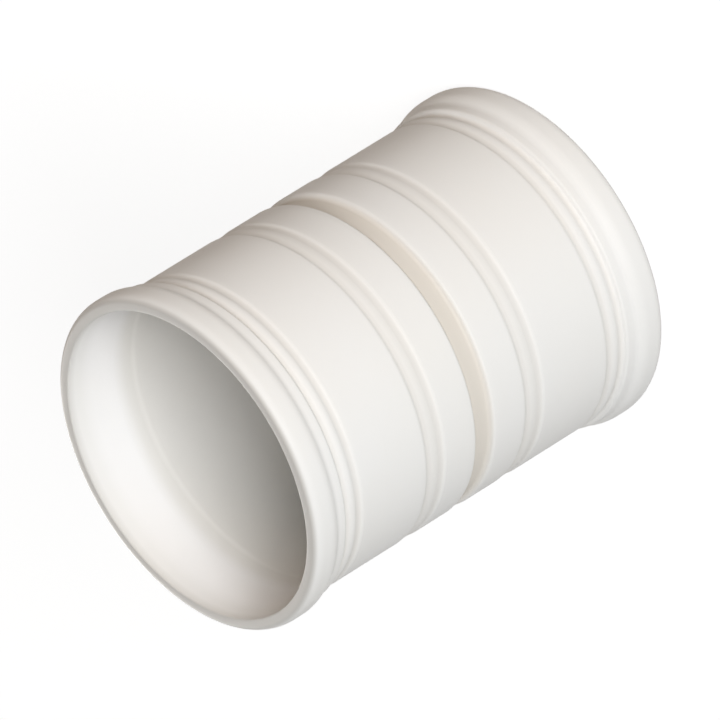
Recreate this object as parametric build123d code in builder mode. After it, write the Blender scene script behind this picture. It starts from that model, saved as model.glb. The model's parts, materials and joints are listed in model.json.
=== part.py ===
import os

from build123d import *

# Condensate pipe coupling: one moulded sleeve that joins two pipes end to end.
# It stands on one mouth with the bore along +Z and the origin at the middle of the lower mouth.
# Millimetres throughout.

# Sleeve
length = 62.0
bore_diameter = 42.5
wall = 1.25

# Groove round the middle of the outside
groove_width = 4.0
groove_depth = 0.8
groove_side = 1.0

# Rings round the outside, one on each side of the groove and one at the foot of each collar:
# each is a shallow channel with a bead along its middle, flush with the wall at the collars
# and a little lower beside the groove
ring_width = 4.0
ring_side = 0.9
ring_depth = 0.24
bead_drop = 0.14
ring_from_middle = 8.8

# Collar at each mouth: a rounded rim, whose shoulder is hollow at first, and a narrow step below it
rim_width = 4.9
rim_stand = 1.25
shoulder_run = 2.2
shoulder_hollow = 0.9
step_width = 0.7
step_stand = 0.5

# Mouth: the lip is rounded on both sides of a narrow flat, and the entry narrows a little inwards
# and then eases down to the bore
lip_run = 1.4
lip_drop = 0.95
lip_flat = 0.2
lip_relief = 0.5
entry_relief = 0.15
entry_depth = 10.5
entry_run = 1.2

# Ring inside the middle of the bore, under the groove, which both pipes butt against
stop_width = 5.0
stop_height = 1.2
stop_round = 0.3

# Radii and heights that follow from the sizes above, with heights counted from the middle
half_length = length / 2
bore_radius = bore_diameter / 2
body_radius = bore_radius + wall
groove_radius = body_radius - groove_depth
channel_radius = body_radius - ring_depth
bead_radius = body_radius - bead_drop
step_radius = body_radius + step_stand
rim_radius = body_radius + rim_stand
lip_top_radius = rim_radius - lip_drop
lip_radius = bore_radius + lip_relief
lip_round = lip_top_radius - lip_flat - lip_radius
entry_radius = bore_radius + entry_relief
stop_radius = bore_radius - stop_height
shoulder_foot = half_length - rim_width
shoulder_top = shoulder_foot + shoulder_run
lip_foot = half_length - lip_run
collar_ring = shoulder_foot - step_width - ring_width / 2
entry_end = half_length - entry_depth

middle_plane = Plane(origin=(0, 0, half_length), x_dir=(1, 0, 0), z_dir=(0, -1, 0))


def flank(start, end, turn=0.5):
    # Joins two points by a pair of tangent arcs that start and end parallel to the bore,
    # and meet at the given share of the way
    start, end = Vector(start), Vector(end)
    meeting = start + (end - start) * turn
    along = Vector(0, end.Y - start.Y)
    first_arc = TangentArc(start, meeting, tangent=along)
    return TangentArc(meeting, end, tangent=first_arc % 1)


def ring(height, crest_radius, end_radius):
    # A ring centred at the given height, from the plain wall below it to the end radius above it
    lower_edge = height - ring_width / 2
    upper_edge = height + ring_width / 2
    lower_side = flank((body_radius, lower_edge), (channel_radius, lower_edge + ring_side))
    rise = flank(lower_side @ 1, (crest_radius, height))
    fall = flank(rise @ 1, (channel_radius, upper_edge - ring_side))
    return flank(fall @ 1, (end_radius, upper_edge))


with BuildPart() as coupling:
    with BuildSketch(middle_plane):
        # Upper half of the wall's section: up the outside, over the lip and down the inside
        with BuildLine():
            floor = Line((groove_radius, 0), (groove_radius, groove_width / 2 - groove_side))
            groove_edge = flank(floor @ 1, (body_radius, groove_width / 2))
            Line(groove_edge @ 1, (body_radius, ring_from_middle - ring_width / 2))
            middle_ring = ring(ring_from_middle, bead_radius, body_radius)
            Line(middle_ring @ 1, (body_radius, collar_ring - ring_width / 2))
            foot_ring = ring(collar_ring, body_radius, step_radius)
            step = Line(foot_ring @ 1, (step_radius, shoulder_foot))
            shoulder = flank(step @ 1, (rim_radius, shoulder_top), shoulder_hollow / shoulder_run)
            Line(shoulder @ 1, (rim_radius, lip_foot))
            outer_lip = EllipticalCenterArc((lip_top_radius, lip_foot), lip_drop, lip_run)
            lip_face = Line(outer_lip @ 1, (lip_radius + lip_round, half_length))
            inner_lip = JernArc(lip_face @ 1, tangent=(-1, 0), radius=lip_round, arc_size=90)
            entry = Line(inner_lip @ 1, (entry_radius, entry_end))
            entry_step = flank(entry @ 1, (bore_radius, entry_end - entry_run))
            socket = Line(entry_step @ 1, (bore_radius, stop_width / 2))
            stop_face = Line(socket @ 1, (stop_radius + stop_round, stop_width / 2))
            stop_edge = JernArc(stop_face @ 1, tangent=(-1, 0), radius=stop_round, arc_size=90)
            stop_crest = Line(stop_edge @ 1, (stop_radius, 0))
            Line(stop_crest @ 1, floor @ 0)
        make_face()
        mirror(about=Plane.XZ)
    revolve(axis=Axis.Z)

coupling.part.label = "coupling"

os.makedirs("parts", exist_ok=True)
export_step(coupling.part, "parts/coupling.step")
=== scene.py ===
import json
import math

import bpy
import numpy as np
from mathutils import Matrix, Vector


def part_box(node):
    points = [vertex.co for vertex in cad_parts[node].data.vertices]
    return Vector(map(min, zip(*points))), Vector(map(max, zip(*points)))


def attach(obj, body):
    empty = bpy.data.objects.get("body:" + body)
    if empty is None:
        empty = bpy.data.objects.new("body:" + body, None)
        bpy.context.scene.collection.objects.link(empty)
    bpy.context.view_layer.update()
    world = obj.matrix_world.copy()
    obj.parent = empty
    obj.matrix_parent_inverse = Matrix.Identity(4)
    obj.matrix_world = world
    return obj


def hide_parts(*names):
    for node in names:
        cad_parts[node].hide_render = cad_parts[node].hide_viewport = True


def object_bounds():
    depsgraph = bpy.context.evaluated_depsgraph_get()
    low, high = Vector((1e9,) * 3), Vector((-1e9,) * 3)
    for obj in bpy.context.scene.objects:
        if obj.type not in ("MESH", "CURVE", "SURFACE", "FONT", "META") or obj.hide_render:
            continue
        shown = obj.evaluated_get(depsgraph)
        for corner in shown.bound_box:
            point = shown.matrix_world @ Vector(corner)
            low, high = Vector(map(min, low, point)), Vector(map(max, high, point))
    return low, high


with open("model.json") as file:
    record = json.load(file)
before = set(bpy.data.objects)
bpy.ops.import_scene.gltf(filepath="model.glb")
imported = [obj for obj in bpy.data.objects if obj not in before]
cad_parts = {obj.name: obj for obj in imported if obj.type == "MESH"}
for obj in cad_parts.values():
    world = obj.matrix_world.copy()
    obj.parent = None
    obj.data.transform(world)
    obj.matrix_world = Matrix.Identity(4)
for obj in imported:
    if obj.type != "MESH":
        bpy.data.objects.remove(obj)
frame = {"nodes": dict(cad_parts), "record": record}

scene = bpy.context.scene
mm = 0.001
cadLow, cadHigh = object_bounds()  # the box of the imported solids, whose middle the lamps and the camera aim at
print("frame loaded:", ", ".join(sorted(frame["nodes"])))


# Section of the sleeve

# All sizes in millimetres, heights counted from the middle of the sleeve.
sleeve = {
    "wall": 1.25,            # the outside of the plain wall stands this far from the bore
    "grooveWidth": 4.0,
    "grooveDepth": 0.8,
    "grooveSide": 1.0,       # how far along the bore each side of the groove runs
    "ringWidth": 4.0,        # a ring is a shallow channel with a bead along its middle
    "ringDepth": 0.24,
    "ringSide": 0.9,
    "beadDrop": 0.14,        # beside the groove the bead stays this far under the plain wall
    "midRing": 8.8,
    "stepWidth": 0.7,
    "stepStand": 0.5,
    "rimWidth": 4.9,
    "shoulderRun": 2.2,
    "shoulderHollow": 0.9,   # the first part of the shoulder, which is hollow
    "lipRun": 1.4,           # the outer rounding of the lip, along the bore and across it
    "lipDrop": 0.95,
    "lipFlat": 0.8,          # wider than in the solids, so that the lip reads as a flat ring
    "lipRelief": 0.5,        # the lip opens this much wider than the bore
    "entryRelief": 0.15,
    "entryDepth": 10.5,
    "entryRun": 1.2,         # the entry eases down to the bore over this length
    "stopWidth": 5.0,
    "stopHeight": 1.2,
    "stopRound": 0.3,
    "aroundSteps": 256,
    "curveSteps": 5,
    "straightStep": 1.0,     # a straight run has a row about this often
    "sharpAngle": 40.0,      # degrees, a fold tighter than this stays crisp
}

# Painted shading, what the plastic's colour is multiplied by, 1 on the plain wall: painted shade
# makes the groove darker and yellower, the lip darker and the bore beyond the entry darker, and
# painted light makes the entry lighter.
paintedShadingTones = {
    # painted shade: the groove's recess darker and yellower
    "groove": (0.84, 0.80, 0.745),
    # painted shade: the lip darker
    "lip": (0.77, 0.755, 0.735),
    # painted light: the entry lighter
    "entry": (1.05, 1.05, 1.065),
    # painted shade: the bore beyond the entry darker
    "bore": (0.955, 0.945, 0.925),
    "lipTo": (0.0, 0.5),      # millimetres from the mouth, where the lip's tone fades out
    "entryFrom": (1.5, 4.0),  # where the entry's tone comes in
    "boreFrom": (7.5, 10.3),  # and where the bore's tone takes over
}


# Straight run: points spread evenly from start to end, the last one left to the next run.
def straightRun(start, end):
    start, end = np.array(start), np.array(end)
    rows = max(1, int(np.ceil(np.linalg.norm(end - start) / sleeve["straightStep"])))
    share = np.arange(rows)[:, None] / rows
    return start + (end - start) * share


# Sway: two arcs that leave the start and reach the end parallel to the bore, and meet on the
# chord at the share called turn. Both swing through twice the chord's angle to the bore, and
# each radius is its share of the chord squared / (2 across).
def sway(start, end, turn=0.5):
    start, end = np.array(start), np.array(end)
    across, along = end - start
    reach = (across ** 2 + along ** 2) / (2 * abs(across))
    swing = 2 * math.atan2(abs(across), abs(along))
    angle = np.linspace(0, swing, sleeve["curveSteps"] + 1)
    bow = reach * np.stack([np.sign(across) * (1 - np.cos(angle)),
                            np.sign(along) * np.sin(angle)], axis=1)
    first = start + turn * bow
    second = end - (1 - turn) * bow[::-1]
    return np.concatenate([first[:-1], second[:-1]])


# Rounding: part of an ellipse, centre + (across cos angle, along sin angle), from one angle to
# another in degrees with the last point left out.
def rounding(centre, across, along, fromAngle, toAngle):
    angle = np.radians(np.linspace(fromAngle, toAngle, 2 * sleeve["curveSteps"] + 1))[:-1]
    return np.array(centre) + np.stack([across * np.cos(angle), along * np.sin(angle)], axis=1)


# Ease: 0 before the first limit, 1 after the second, and share^2 (3 - 2 share) between them,
# where share is how far the value has come from one to the other.
def ease(value, limits):
    share = np.clip((value - limits[0]) / (limits[1] - limits[0]), 0, 1)
    return share ** 2 * (3 - 2 * share)


# Upper half of the section as (radius, height, painted shading) rows, with three numbers for the
# painted shading: from the floor of the groove up the outside, over the lip and down the inside to
# the crest of the stop ring. Outside and below the rim, painted shade goes to the groove's with the
# depth under the plain wall. The lip's painted shade fades with the depth from the mouth on both
# sides of the lip, and inside, it then eases to the entry's painted light and on to the bore's
# painted shade.
def upperSection(halfLength, boreRadius, rimRadius):
    s = sleeve
    wallRadius = boreRadius + s["wall"]
    grooveRadius = wallRadius - s["grooveDepth"]
    channelRadius = wallRadius - s["ringDepth"]
    beadRadius = wallRadius - s["beadDrop"]
    stepRadius = wallRadius + s["stepStand"]
    lipTopRadius = rimRadius - s["lipDrop"]
    lipRadius = boreRadius + s["lipRelief"]
    lipRound = lipTopRadius - s["lipFlat"] - lipRadius
    entryRadius = boreRadius + s["entryRelief"]
    stopRadius = boreRadius - s["stopHeight"]
    shoulderFoot = halfLength - s["rimWidth"]
    shoulderTop = shoulderFoot + s["shoulderRun"]
    hollowShare = s["shoulderHollow"] / s["shoulderRun"]
    lipFoot = halfLength - s["lipRun"]
    entryEnd = halfLength - s["entryDepth"]
    grooveTop = s["grooveWidth"] / 2
    grooveFloor = grooveTop - s["grooveSide"]
    stopTop, stopRound = s["stopWidth"] / 2, s["stopRound"]
    ringEdge = s["ringWidth"] / 2
    ringFloor = ringEdge - s["ringSide"]
    footRing = shoulderFoot - s["stepWidth"] - ringEdge

    # A ring centred at a height, which leads from the plain wall over its bead to the given radius
    def ring(height, crestRadius, endRadius):
        return [
            sway((wallRadius, height - ringEdge), (channelRadius, height - ringFloor)),
            sway((channelRadius, height - ringFloor), (crestRadius, height)),
            sway((crestRadius, height), (channelRadius, height + ringFloor)),
            sway((channelRadius, height + ringFloor), (endRadius, height + ringEdge)),
        ]

    outside = np.concatenate([
        straightRun((grooveRadius, 0), (grooveRadius, grooveFloor)),
        sway((grooveRadius, grooveFloor), (wallRadius, grooveTop)),
        straightRun((wallRadius, grooveTop), (wallRadius, s["midRing"] - ringEdge)),
        *ring(s["midRing"], beadRadius, wallRadius),
        straightRun((wallRadius, s["midRing"] + ringEdge), (wallRadius, footRing - ringEdge)),
        *ring(footRing, wallRadius, stepRadius),
        straightRun((stepRadius, footRing + ringEdge), (stepRadius, shoulderFoot)),
        sway((stepRadius, shoulderFoot), (rimRadius, shoulderTop), hollowShare),
        straightRun((rimRadius, shoulderTop), (rimRadius, lipFoot)),
        rounding((lipTopRadius, lipFoot), s["lipDrop"], s["lipRun"], 0, 90),
        straightRun((lipTopRadius, halfLength), (lipRadius + lipRound, halfLength)),
    ])
    inside = np.concatenate([
        rounding((lipRadius + lipRound, halfLength - lipRound), lipRound, lipRound, 90, 180),
        straightRun((lipRadius, halfLength - lipRound), (entryRadius, entryEnd)),
        sway((entryRadius, entryEnd), (boreRadius, entryEnd - s["entryRun"])),
        straightRun((boreRadius, entryEnd - s["entryRun"]), (boreRadius, stopTop)),
        straightRun((boreRadius, stopTop), (stopRadius + stopRound, stopTop)),
        rounding((stopRadius + stopRound, stopTop - stopRound), stopRound, stopRound, 90, 180),
        straightRun((stopRadius, stopTop - stopRound), (stopRadius, 0)),
        np.array([(stopRadius, 0.0)]),
    ])

    places = ("groove", "lip", "entry", "bore")
    groove, lip, entry, bore = (np.array(paintedShadingTones[place]) for place in places)
    # Painted shade in the groove, darker the deeper the surface sits under the plain wall
    recess = np.clip((wallRadius - outside[:, :1]) / s["grooveDepth"], 0, 1)
    outsidePaintedShade = (outside[:, 1:] < shoulderFoot) * recess * (groove - 1)
    depth = halfLength - inside[:, 1:]
    # Painted light in the entry, then painted shade in the bore beyond it
    insidePaintedShading = (ease(depth, paintedShadingTones["entryFrom"]) * (entry - 1)
                  + ease(depth, paintedShadingTones["boreFrom"]) * (bore - entry))
    rows = np.concatenate([outside, inside])
    # Painted shade on the lip, fading out within half a millimetre of the mouth
    lipShadeShare = 1 - ease(halfLength - rows[:, 1:], paintedShadingTones["lipTo"])
    tone = 1 + lipShadeShare * (lip - 1) + np.concatenate([outsidePaintedShade, insidePaintedShading])
    return np.hstack([rows, tone])


# Closed section: the upper half, then its mirror image, with the height's sign turned, walked
# backwards without the two shared rows.
def wholeSection(upper):
    lower = upper[-2:0:-1].copy()
    lower[:, 1] *= -1
    return np.concatenate([upper, lower])


# Turned surface: the section carried round the bore, so that
# x = radius * cos(angle), y = radius * sin(angle), z = middle + height.
def turnedSurface(section, middle, aroundSteps):
    angle = np.linspace(0, 2 * math.pi, aroundSteps, endpoint=False)[:, None]
    radius, height = section[:, 0][None, :], section[:, 1][None, :]
    points = np.stack([radius * np.cos(angle),
                       radius * np.sin(angle),
                       middle + height + 0 * angle], axis=2)
    return points * mm


# Quads over a grid that closes on itself both ways, wound so that the faces look outwards.
def closedGridQuads(aroundSteps, alongSteps):
    around, along = np.meshgrid(np.arange(aroundSteps), np.arange(alongSteps), indexing="ij")
    nextAround, nextAlong = (around + 1) % aroundSteps, (along + 1) % alongSteps
    corners = [around * alongSteps + along, nextAround * alongSteps + along,
               nextAround * alongSteps + nextAlong, around * alongSteps + nextAlong]
    return np.stack(corners, axis=2).reshape(-1, 4)


# Puts a grid of points and its quads into a new mesh object with smooth shading.
def meshPiece(name, points, quads):
    mesh = bpy.data.meshes.new(name)
    flat = points.reshape(-1, 3)
    mesh.vertices.add(len(flat))
    mesh.vertices.foreach_set("co", flat.ravel())
    mesh.loops.add(quads.size)
    mesh.loops.foreach_set("vertex_index", quads.ravel())
    mesh.polygons.add(len(quads))
    mesh.polygons.foreach_set("loop_start", np.arange(0, quads.size, 4))
    mesh.polygons.foreach_set("use_smooth", np.ones(len(quads), dtype=bool))
    mesh.update(calc_edges=True)
    mesh.validate()
    piece = bpy.data.objects.new(name, mesh)
    scene.collection.objects.link(piece)
    return piece


# The length and the rim come from the solid's box, and the bore from the record's first socket.
def makeSleeve():
    low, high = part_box("coupling")
    bore = next(m for m in frame["record"]["mounts"] if m["kind"] == "bore")
    halfLength = (high.z - low.z) / 2 / mm
    rimRadius = high.x / mm
    middle = (high.z + low.z) / 2 / mm
    section = wholeSection(upperSection(halfLength, bore["dims"]["r_mm"], rimRadius))
    points = turnedSurface(section, middle, sleeve["aroundSteps"])
    quads = closedGridQuads(sleeve["aroundSteps"], len(section))
    piece = meshPiece("moulded_sleeve", points, quads)
    piece.data.set_sharp_from_angle(angle=math.radians(sleeve["sharpAngle"]))
    # Painted shading: each row's colour multiplier, carried round the sleeve as a colour attribute
    tone = piece.data.attributes.new("tone", "FLOAT_COLOR", "POINT")
    rowPaintedShading = np.hstack([section[:, 2:], np.ones((len(section), 1))])
    tone.data.foreach_set("color", np.tile(rowPaintedShading, (sleeve["aroundSteps"], 1)).ravel())
    print("sleeve:", len(section), "rows,", 2 * len(quads), "triangles")
    return piece


# Satin moulded plastic

satin = {
    "pale": (0.87, 0.858, 0.84, 1.0),
    "warm": (0.86, 0.838, 0.80, 1.0),
    "tintSize": 18.0,        # millimetres, the drift between the two tints
    "tintDetail": 3,
    "roughLow": 0.42,
    "roughHigh": 0.55,
    "roughSize": 4.0,
    "roughDetail": 4,
    "grainSize": 0.35,
    "grainDepth": 0.004,     # millimetres
    "grainDetail": 3,
    "peelSize": 2.6,
    "peelDepth": 0.006,
    "peelDetail": 2,
    "specular": 0.15,
    "matt": 0.27,            # roughness of the diffuse part, which flattens the shading
}


def newMaterial(name):
    material = bpy.data.materials.new(name)
    material.use_nodes = True
    nodes, links = material.node_tree.nodes, material.node_tree.links
    nodes.clear()
    output = nodes.new("ShaderNodeOutputMaterial")
    return material, nodes, links, output


# Noise over the piece whose blotches are about the given number of millimetres across.
def noiseOver(nodes, links, coordinates, size, detail):
    noise = nodes.new("ShaderNodeTexNoise")
    noise.inputs["Scale"].default_value = 1 / (size * mm)
    noise.inputs["Detail"].default_value = detail
    links.new(coordinates.outputs["Object"], noise.inputs["Vector"])
    return noise


def makeSatinPlastic():
    material, nodes, links, output = newMaterial("satin_ivory_plastic")
    shader = nodes.new("ShaderNodeBsdfPrincipled")
    coordinates = nodes.new("ShaderNodeTexCoord")
    shader.inputs["Specular IOR Level"].default_value = satin["specular"]
    shader.inputs["Diffuse Roughness"].default_value = satin["matt"]

    # Two close tints drift into each other over the moulding
    drift = noiseOver(nodes, links, coordinates, satin["tintSize"], satin["tintDetail"])
    tint = nodes.new("ShaderNodeMix")
    tint.data_type = "RGBA"
    tint.inputs["A"].default_value = satin["pale"]
    tint.inputs["B"].default_value = satin["warm"]
    links.new(drift.outputs["Fac"], tint.inputs["Factor"])

    # The painted shading of each place goes over both
    tone = nodes.new("ShaderNodeAttribute")
    tone.attribute_name = "tone"
    paintedShadingMix = nodes.new("ShaderNodeMix")
    paintedShadingMix.data_type = "RGBA"
    paintedShadingMix.blend_type = "MULTIPLY"
    paintedShadingMix.inputs["Factor"].default_value = 1.0
    links.new(tint.outputs["Result"], paintedShadingMix.inputs["A"])
    links.new(tone.outputs["Color"], paintedShadingMix.inputs["B"])
    links.new(paintedShadingMix.outputs["Result"], shader.inputs["Base Color"])

    # The sheen is a little uneven
    sheen = noiseOver(nodes, links, coordinates, satin["roughSize"], satin["roughDetail"])
    rough = nodes.new("ShaderNodeMapRange")
    rough.inputs["To Min"].default_value = satin["roughLow"]
    rough.inputs["To Max"].default_value = satin["roughHigh"]
    links.new(sheen.outputs["Fac"], rough.inputs["Value"])
    links.new(rough.outputs["Result"], shader.inputs["Roughness"])

    # Slow orange peel first, then the fine grain of the mould over it
    normal = None
    for relief in ("peel", "grain"):
        size, detail = satin[relief + "Size"], satin[relief + "Detail"]
        height = noiseOver(nodes, links, coordinates, size, detail)
        bump = nodes.new("ShaderNodeBump")
        bump.inputs["Distance"].default_value = satin[relief + "Depth"] * mm
        links.new(height.outputs["Fac"], bump.inputs["Height"])
        if normal:
            links.new(normal, bump.inputs["Normal"])
        normal = bump.outputs["Normal"]
    links.new(normal, shader.inputs["Normal"])

    links.new(shader.outputs["BSDF"], output.inputs["Surface"])
    print("material: satin_ivory_plastic")
    return material


# Floor and light

studio = {
    "floorReach": 6.0,       # metres from the middle to each side
    "floorColour": (0.22, 0.205, 0.18, 1.0),  # what the floor throws back on the sleeve
    "floorShadow": (0.30, 0.30, 0.30, 1.0),   # what shows of the lamps' light on the floor
    "floorGlow": 0.86,       # plain white that shows under it
    "skyLight": (0.06, 0.054, 0.046, 1.0),    # what the sky lights the sleeve with
    "skySeen": (1.0, 1.0, 1.0, 1.0),
    "lamps": [
        # name, azimuth and elevation in degrees, distance and width in metres, watts and colour
        ("key_softbox", -10.5, 26.0, 2.6, 1.4, 72.0, (0.95, 0.975, 1.0)),
        ("warm_fill", 62.0, 15.0, 2.6, 1.4, 7.5, (1.0, 0.60, 0.30)),
        ("back_strip", 180.0, 5.0, 2.6, 0.5, 44.0, (1.0, 0.98, 0.95)),
    ],
}


# The rays that see the background: 1 for camera, glossy and transmission rays, 0 for the others.
def seenDirectly(nodes, links):
    path = nodes.new("ShaderNodeLightPath")
    total = path.outputs["Is Camera Ray"]
    for ray in ("Is Glossy Ray", "Is Transmission Ray"):
        add = nodes.new("ShaderNodeMath")
        add.operation = "ADD"
        add.use_clamp = True
        links.new(total, add.inputs[0])
        links.new(path.outputs[ray], add.inputs[1])
        total = add.outputs["Value"]
    return total


# A flat square: white for the rays that see it, with the lamps' light and shadow added on top.
def makeFloor():
    reach = studio["floorReach"]
    side = np.array([-reach, reach])
    x, y = np.meshgrid(side, side, indexing="ij")
    points = np.stack([x, y, 0 * x], axis=2)
    floor = meshPiece("pale_floor", points, np.array([[0, 2, 3, 1]]))
    material, nodes, links, output = newMaterial("pale_floor")
    seen = seenDirectly(nodes, links)
    colour = nodes.new("ShaderNodeMix")
    colour.data_type = "RGBA"
    colour.inputs["A"].default_value = studio["floorColour"]
    colour.inputs["B"].default_value = studio["floorShadow"]
    links.new(seen, colour.inputs["Factor"])
    matt = nodes.new("ShaderNodeBsdfDiffuse")
    links.new(colour.outputs["Result"], matt.inputs["Color"])
    glow = nodes.new("ShaderNodeEmission")
    strength = nodes.new("ShaderNodeMath")
    strength.operation = "MULTIPLY"
    strength.inputs[1].default_value = studio["floorGlow"]
    links.new(seen, strength.inputs[0])
    links.new(strength.outputs["Value"], glow.inputs["Strength"])
    both = nodes.new("ShaderNodeAddShader")
    links.new(matt.outputs["BSDF"], both.inputs[0])
    links.new(glow.outputs["Emission"], both.inputs[1])
    links.new(both.outputs["Shader"], output.inputs["Surface"])
    floor.data.materials.append(material)
    print("floor laid")


def makeSky():
    world = bpy.data.worlds.new("studio_sky")
    world.use_nodes = True
    nodes, links = world.node_tree.nodes, world.node_tree.links
    nodes.clear()
    output = nodes.new("ShaderNodeOutputWorld")
    background = nodes.new("ShaderNodeBackground")
    colour = nodes.new("ShaderNodeMix")
    colour.data_type = "RGBA"
    colour.inputs["A"].default_value = studio["skyLight"]
    colour.inputs["B"].default_value = studio["skySeen"]
    links.new(seenDirectly(nodes, links), colour.inputs["Factor"])
    links.new(colour.outputs["Result"], background.inputs["Color"])
    links.new(background.outputs["Background"], output.inputs["Surface"])
    scene.world = world
    print("sky set")


# A direction from the middle of the sleeve: azimuth 0 is towards -Y and 90 towards +X, and
# elevation is up.
def towards(azimuth, elevation):
    a, e = math.radians(azimuth), math.radians(elevation)
    return Vector((math.sin(a) * math.cos(e), -math.cos(a) * math.cos(e), math.sin(e)))


def makeLamps(target):
    for name, azimuth, elevation, distance, width, power, colour in studio["lamps"]:
        lamp = bpy.data.lights.new(name, "AREA")
        lamp.size = width
        lamp.energy = power
        lamp.color = colour
        holder = bpy.data.objects.new(name, lamp)
        away = towards(azimuth, elevation)
        holder.location = target + away * distance
        holder.rotation_euler = away.to_track_quat("Z", "Y").to_euler()
        scene.collection.objects.link(holder)
    print("lamps:", len(studio["lamps"]))


# Camera

shot = {
    "lens": 800.0,           # millimetres: the far end is hardly smaller than the near one
    "sensor": 36.0,
    "distance": 2.04,        # metres
    "elevation": 32.7,       # degrees above the mouth's plane
    "roll": -121.8,          # degrees, lays the upright sleeve over to the lower left
    "aimRight": -0.185,      # millimetres from the sleeve's middle to the middle of the picture
    "aimUp": -0.37,
}


# The camera looks back along its direction from the sleeve, and the picture's right and up are
# the level and the upright direction turned by the roll.
def makeCamera(target):
    back = towards(0, shot["elevation"])
    level = Vector((1, 0, 0))
    upright = back.cross(level)
    roll = math.radians(shot["roll"])
    right = level * math.cos(roll) + upright * math.sin(roll)
    up = upright * math.cos(roll) - level * math.sin(roll)
    lens = bpy.data.cameras.new("camera")
    lens.lens = shot["lens"]
    lens.sensor_width = shot["sensor"]
    camera = bpy.data.objects.new("camera", lens)
    aim = target + (right * shot["aimRight"] + up * shot["aimUp"]) * mm
    turn = Matrix((right, up, back)).transposed().to_4x4()
    camera.matrix_world = Matrix.Translation(aim + back * shot["distance"]) @ turn
    scene.collection.objects.link(camera)
    scene.camera = camera
    print("camera set")


piece = makeSleeve()
piece.data.materials.append(makeSatinPlastic())
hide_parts("coupling")
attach(piece, "root")

middlePoint = (cadLow + cadHigh) / 2
makeFloor()
makeSky()
makeLamps(middlePoint)
makeCamera(middlePoint)
scene.view_settings.view_transform = "Standard"
